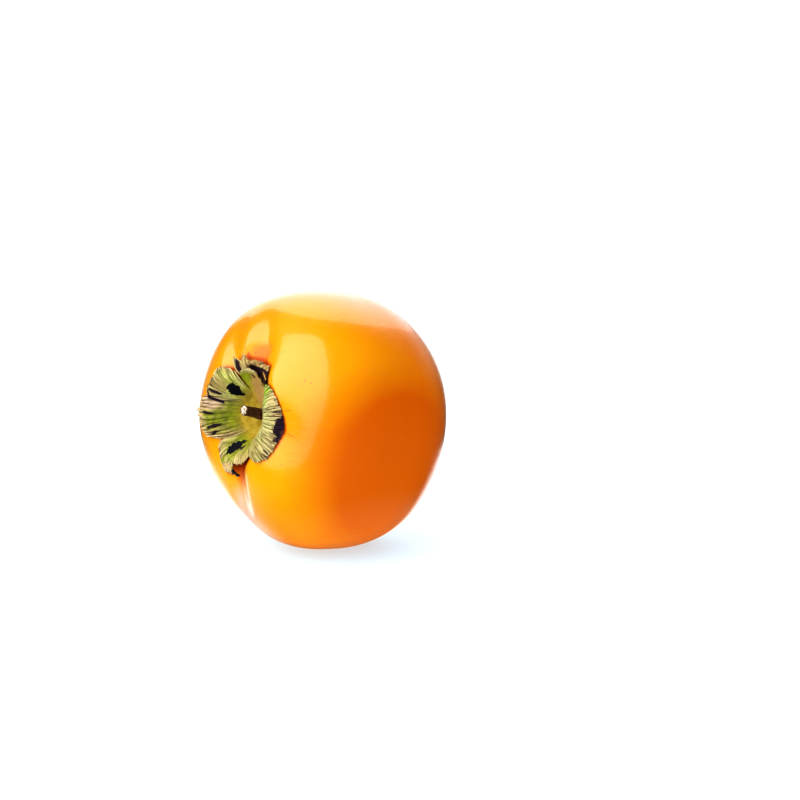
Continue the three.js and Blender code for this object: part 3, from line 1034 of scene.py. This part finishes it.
def torn_piece(azimuths, distances, lifts, darkness, folds, tone, seed):
    along, across = grid_of(*TORN_GRID)
    azimuth, distance, lift, dark = (
        spline([spline(np.array(row, dtype=float), across) for row in grid], along)
        for grid in (azimuths, distances, lifts, darkness)
    )
    width = radians(abs(azimuths[0][0] - azimuths[0][-1])) * TORN_WIDTH_DISTANCE
    fold, raised = folded(along, across, width, folds, seed)
    tatter = 0.35 * uneven(across * width, 0.0 * along, seed + 50, 2.5, 4) * smoothstep(0.6, 1.0, along)
    lift = np.maximum(lift + raised, LEAST_LIFT)
    upper, facing = calyx_surface(azimuth, distance + tatter, lift)
    return sheet_of(upper, facing, lift, along, across, width, TORN_LENGTH, fold, tone, dark)


def sepal(name, sheets, material):
    """One mesh of one or more sheets."""
    joined = {key: np.concatenate([layers[key] for _, layers in sheets]) for key in sheets[0][1]}
    faces = []
    start = 0
    for (rows, columns), layers in sheets:
        faces += [tuple(start + corner for corner in face) for face in sheet_faces(rows, columns)]
        start += len(layers["own"])
    return new_mesh("persimmon_" + name, rest(joined["own"]), faces, material, **joined)


def stem():
    around, rings = 96, 90
    up = np.linspace(0.0, 1.0, rings)
    azimuth, along = np.meshgrid(np.arange(around) * 360.0 / around, up)
    turn = np.radians(azimuth)
    side = np.minimum(along / BARK_SHARE, 1.0)
    top = np.clip((along - BARK_SHARE) / (1.0 - BARK_SHARE), 0.0, 1.0)
    radius = STEM_RADIUS - STEM_TAPER * side + STEM_FLARE * smoothstep(FLARE_FROM, 1.0, side)
    radius = radius + 0.10 * uneven(turn * 2.0, side * 3.0, 21, 1.7, 3)
    radius = radius * np.sqrt(np.maximum(1.0 - top**1.6, 0.0))
    height = STEM_LENGTH * side - CUT_SINK * top * (1.0 - 0.6 * top)
    height = height + 0.12 * uneven(np.cos(turn) * radius, np.sin(turn) * radius, 22, 1.2, 3) * side
    bend = STEM_LEAN * (height / STEM_LENGTH) ** 1.4
    foot = CALYX_HEIGHT - BOWL_DEPTH + STEM_FOOT
    points = np.stack([radius * np.cos(turn), radius * np.sin(turn) + bend, foot + height], -1)
    points[0, :] = points[0].mean(0)
    return round_piece("stem", points, bark_material(), cut=capped(smoothstep(0.0, 0.5, top)))


def style_tip():
    around, rings = 40, 30
    azimuth, along = np.meshgrid(np.arange(around) * 360.0 / around, np.linspace(0.0, 1.0, rings))
    turn = np.radians(azimuth)
    radius = STYLE_RADIUS * np.sqrt(np.clip(1.0 - along, 0.0, 1.0)) * (1.0 + 0.15 * np.sin(3.0 * turn))
    radius[0] = 0.0
    height = -(APEX_HEIGHT - DIMPLE_DEPTH) + STYLE_SUNK - STYLE_LENGTH * along
    points = np.stack([radius * np.cos(turn), -radius * np.sin(turn), height], -1)
    return round_piece("style_tip", points, style_material())


# ---------- stage, lights and camera ----------

VIEW_AZIMUTH, VIEW_ELEVATION = 50.0, 10.0
LENS, SENSOR = 100.0, 36.0
FRUIT_SHARE = 0.3213  # of the picture's height, taken by the fruit's equator
OFF_MIDDLE = (-0.0913, -0.0225)  # of the picture's width: where the fruit's middle is


def view_axes():
    """The picture's right and up, and the way from the fruit to the camera."""
    azimuth, elevation = radians(VIEW_AZIMUTH), radians(VIEW_ELEVATION)
    back = Vector((sin(azimuth) * cos(elevation), -cos(azimuth) * cos(elevation), sin(elevation)))
    right = Vector((cos(azimuth), sin(azimuth), 0.0))
    return right, back.cross(right), back


def camera():
    right, up, back = view_axes()
    picture = 2.0 * EQUATOR_RADIUS * MM / FRUIT_SHARE
    data = bpy.data.cameras.new("camera")
    data.lens, data.sensor_width = LENS, SENSOR
    eye = bpy.data.objects.new("camera", data)
    eye.location = CENTRE + back * picture * LENS / SENSOR
    aim = CENTRE - right * OFF_MIDDLE[0] * picture - up * OFF_MIDDLE[1] * picture
    eye.rotation_euler = (aim - eye.location).to_track_quat("-Z", "Y").to_euler()
    bpy.context.scene.collection.objects.link(eye)
    bpy.context.scene.camera = eye


def direction(sideways, height):
    """The way out from the fruit at angles from the camera: degrees to the right of it, and above it."""
    right, up, back = view_axes()
    turn, rise = radians(sideways), radians(height)
    return right * sin(turn) * cos(rise) + up * sin(rise) + back * cos(turn) * cos(rise)


def softbox(name, sideways, height, distance, size, radiance):
    """An oval light that lights the fruit; mirrored_light() has its reflection."""
    way = direction(sideways, height)
    data = bpy.data.lights.new(name, "AREA")
    data.shape = "ELLIPSE"
    data.size, data.size_y = size
    oval_area = pi / 4.0 * size[0] * size[1]
    data.energy = radiance * pi * oval_area
    light = bpy.data.objects.new(name, data)
    light.location = CENTRE + way * distance
    light.rotation_euler = (-way).to_track_quat("-Z", "Y").to_euler()
    light.visible_glossy = False
    bpy.context.scene.collection.objects.link(light)


def lights():
    softbox("key_softbox", sideways=-60.0, height=24.0, distance=0.9, size=(1.5, 1.5), radiance=1.4)
    softbox("back_softbox", sideways=180.0, height=47.0, distance=1.2, size=(1.7, 1.05), radiance=1.0)


# the reflected key light, a rounded oblong: its middle and half its size in degrees, how square it is
KEY_MIDDLE, KEY_HALF, KEY_SQUARENESS = (-61.5, 26.0), (48.5, 45.0), 2.5
WHITE = (1.0, 1.0, 1.0)


def mirrored_light(n, way):
    """What the skin mirrors from a direction: the key light at the left, and the light behind."""
    right, up, back = (n.vector("DOT_PRODUCT", way, tuple(axis), "Value") for axis in view_axes())
    sideways = n.math("DEGREES", n.math("ARCTAN2", right, back))
    height = n.math("DEGREES", n.math("ARCSINE", up))
    offsets = []
    for angle, middle, half in zip((sideways, height), KEY_MIDDLE, KEY_HALF):
        offset = n.math("ABSOLUTE", n.math("DIVIDE", n.math("SUBTRACT", angle, middle), half))
        offsets.append(n.math("POWER", offset, KEY_SQUARENESS))
    # the key light is brighter towards its top, and a slanting line cuts off its foot
    key = n.step(n.math("ADD", *offsets), 1.14, 0.88)
    key = n.times(key, n.scaled(n.step(height, -5.0, 30.0), 0.45, 1.1))
    low_edge = n.step(n.scaled(sideways, 0.4, height), -32.0, -27.0)
    key = n.times(key, low_edge)
    # behind the fruit are a round light, a glow that is faint near the horizon, and a bright middle
    above = n.vector("DOT_PRODUCT", way, tuple(direction(180.0, 45.0)), "Value")
    upward = n.times(n.step(height, 6.0, 30.0), n.step(right, -0.6, -0.3))
    off_horizon = n.math("MAXIMUM", upward, n.step(height, -6.0, -30.0))
    glow = n.times(n.step(back, -0.15, -0.9), n.scaled(off_horizon, 0.5, 0.05))
    opposite = n.times(n.step(back, -0.85, -0.98), 0.95)
    behind = n.math("MAXIMUM", n.step(above, 0.84, 0.88), n.math("MAXIMUM", glow, opposite))
    return n.math("ADD", key, behind)


def surroundings():
    """White to the camera, a soft light from above on the fruit, and the lights where it is mirrored."""
    n = Nodes(bpy.data.worlds.new("studio"))
    way = n.add("TexCoord", {}, "Generated")
    right, _, back = view_axes()
    at_left = n.step(n.vector("DOT_PRODUCT", way, tuple(right), "Value"), -0.4, -0.95)
    soft = n.scaled(n.step(n.part(way, 2), 0.0, 0.8), 1.0, 0.25)
    soft = n.scaled(at_left, 0.5, soft)
    glossy = n.add("LightPath", {}, "Is Glossy Ray")
    strength = n.blend(glossy, soft, mirrored_light(n, way))
    strength = n.blend(n.add("LightPath", {}, "Is Camera Ray"), strength, 1.0)
    opposite = n.step(n.vector("DOT_PRODUCT", way, tuple(back), "Value"), -0.965, -0.99)
    rim = n.mix(n.times(opposite, glossy), WHITE, (0.85, 0.52, 0.32))
    n.put(n.tree.nodes["Background"].inputs["Strength"], strength)
    n.put(n.tree.nodes["Background"].inputs["Color"], rim)
    bpy.context.scene.world = n.owner


def floor_cosine(n, place, sideways):
    """The cosine of the angle between two ways from the fruit, to a place on the floor and sideways."""
    level = n.vector("NORMALIZE", n.vector("MULTIPLY", place, (1.0, 1.0, 0.0)))
    return n.vector("DOT_PRODUCT", level, tuple(direction(sideways, 0.0)), "Value")


def floor_to_camera(n, place, away):
    """The floor as the camera sees it, white with the fruit's soft shade, and the light it sheds."""
    far = n.step(away, 0.15, 0.35)
    # bluish, because the fruit throws orange light on it and its shade is nearly grey
    bluish = n.mix(n.noise(place, 40.0, 2.0), (0.28, 0.41, 0.51), (0.30, 0.43, 0.53))
    n.finish(base_color=bluish, roughness=0.9)
    plain = n.tree.nodes["Principled BSDF"].outputs[0]
    shown = n.blend(far, 0.40, 1.0)
    close = n.step(away, 0.045, 0.015)
    shed = n.blend(far, n.scaled(close, 0.4, 0.9), 0.6)
    to_camera = n.add("LightPath", {}, "Is Camera Ray")
    cool = n.times(n.step(away, 0.038, 0.012), to_camera)
    tint = n.mix(cool, WHITE, (0.86, 1.04, 1.11))
    glow = n.add("Emission", {"Color": tint, "Strength": n.blend(to_camera, shed, shown)})
    return n.add("MixShader", {0: far, 1: n.add("AddShader", {0: plain, 1: glow}), 2: glow})


def floor_mirrored(n, place, away):
    """What the skin mirrors from the floor: the lights, a pale left, orange close by, a bright back."""
    from_fruit = n.vector("SUBTRACT", place, tuple(CENTRE))
    lit = mirrored_light(n, n.vector("NORMALIZE", from_fruit))
    left = n.times(n.step(away, 0.008, 0.024), n.step(away, 0.11, 0.05))
    left = n.times(n.step(floor_cosine(n, place, -100.0), 0.4, 0.95), left)
    paleness = n.scaled(n.step(away, 0.034, 0.023), 0.3, 0.33)
    orange = n.times(n.step(away, 0.05, 0.015), n.math("SUBTRACT", 1.0, left))
    lit = n.scaled(left, paleness, n.scaled(orange, 0.42, lit))
    behind = n.step(n.scaled(away, -6.2, floor_cosine(n, place, 180.0)), -0.15, 0.2)
    behind = n.times(behind, n.step(away, 0.004, 0.014))
    lit = n.math("MAXIMUM", lit, n.times(behind, 0.95))
    return n.add("Emission", {"Color": n.mix(orange, WHITE, (1.0, 0.42, 0.16)), "Strength": lit})


def stage():
    """A white floor lit from below like a light table, which fades into the white surroundings."""
    half = 3.0
    corners = np.array([(-half, -half, 0.0), (half, -half, 0.0), (half, half, 0.0), (-half, half, 0.0)])
    n = Nodes(bpy.data.materials.new("stage_floor"))
    place = n.add("TexCoord", {}, "Object")
    away = n.vector("LENGTH", place, output="Value")
    seen, mirrored = floor_to_camera(n, place, away), floor_mirrored(n, place, away)
    both = n.add("MixShader", {0: n.add("LightPath", {}, "Is Glossy Ray"), 1: seen, 2: mirrored})
    n.put(n.tree.nodes["Material Output"].inputs["Surface"], both)
    new_mesh("stage_floor", corners, [(0, 1, 2, 3)], n.owner)


# ---------- the object, piece by piece ----------

pieces = [
    (fruit(), "fruit", "fruit_skin"),
    (calyx_disc(), "calyx_disc", "calyx_disc"),
    (
        sepal("sepal_top", [torn_piece(**shape) for shape in TORN_SEPAL], torn_sepal_material()),
        "sepal_top",
        "dry_sepal",
    ),
    (stem(), "stem", "stem_bark"),
    (style_tip(), "style_tip", "dry_style"),
]
for name, shape in SEPALS.items():
    sheets = [whole_sepal(**shape)]
    if name == "sepal_bottom":
        sheets.append(torn_piece(**BOTTOM_HOOK))
    slot = "pale_sepal" if name == "sepal_right" else "green_sepal"
    pieces.append((sepal(name, sheets, sepal_material(name, **SEPAL_LOOKS[name])), name, slot))
for piece, node, slot in pieces:
    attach(piece, "root")
    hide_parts(node)

stage()
surroundings()
lights()
camera()
bpy.context.scene.view_settings.view_transform = "Standard"
bpy.context.scene.view_settings.look = "High Contrast"
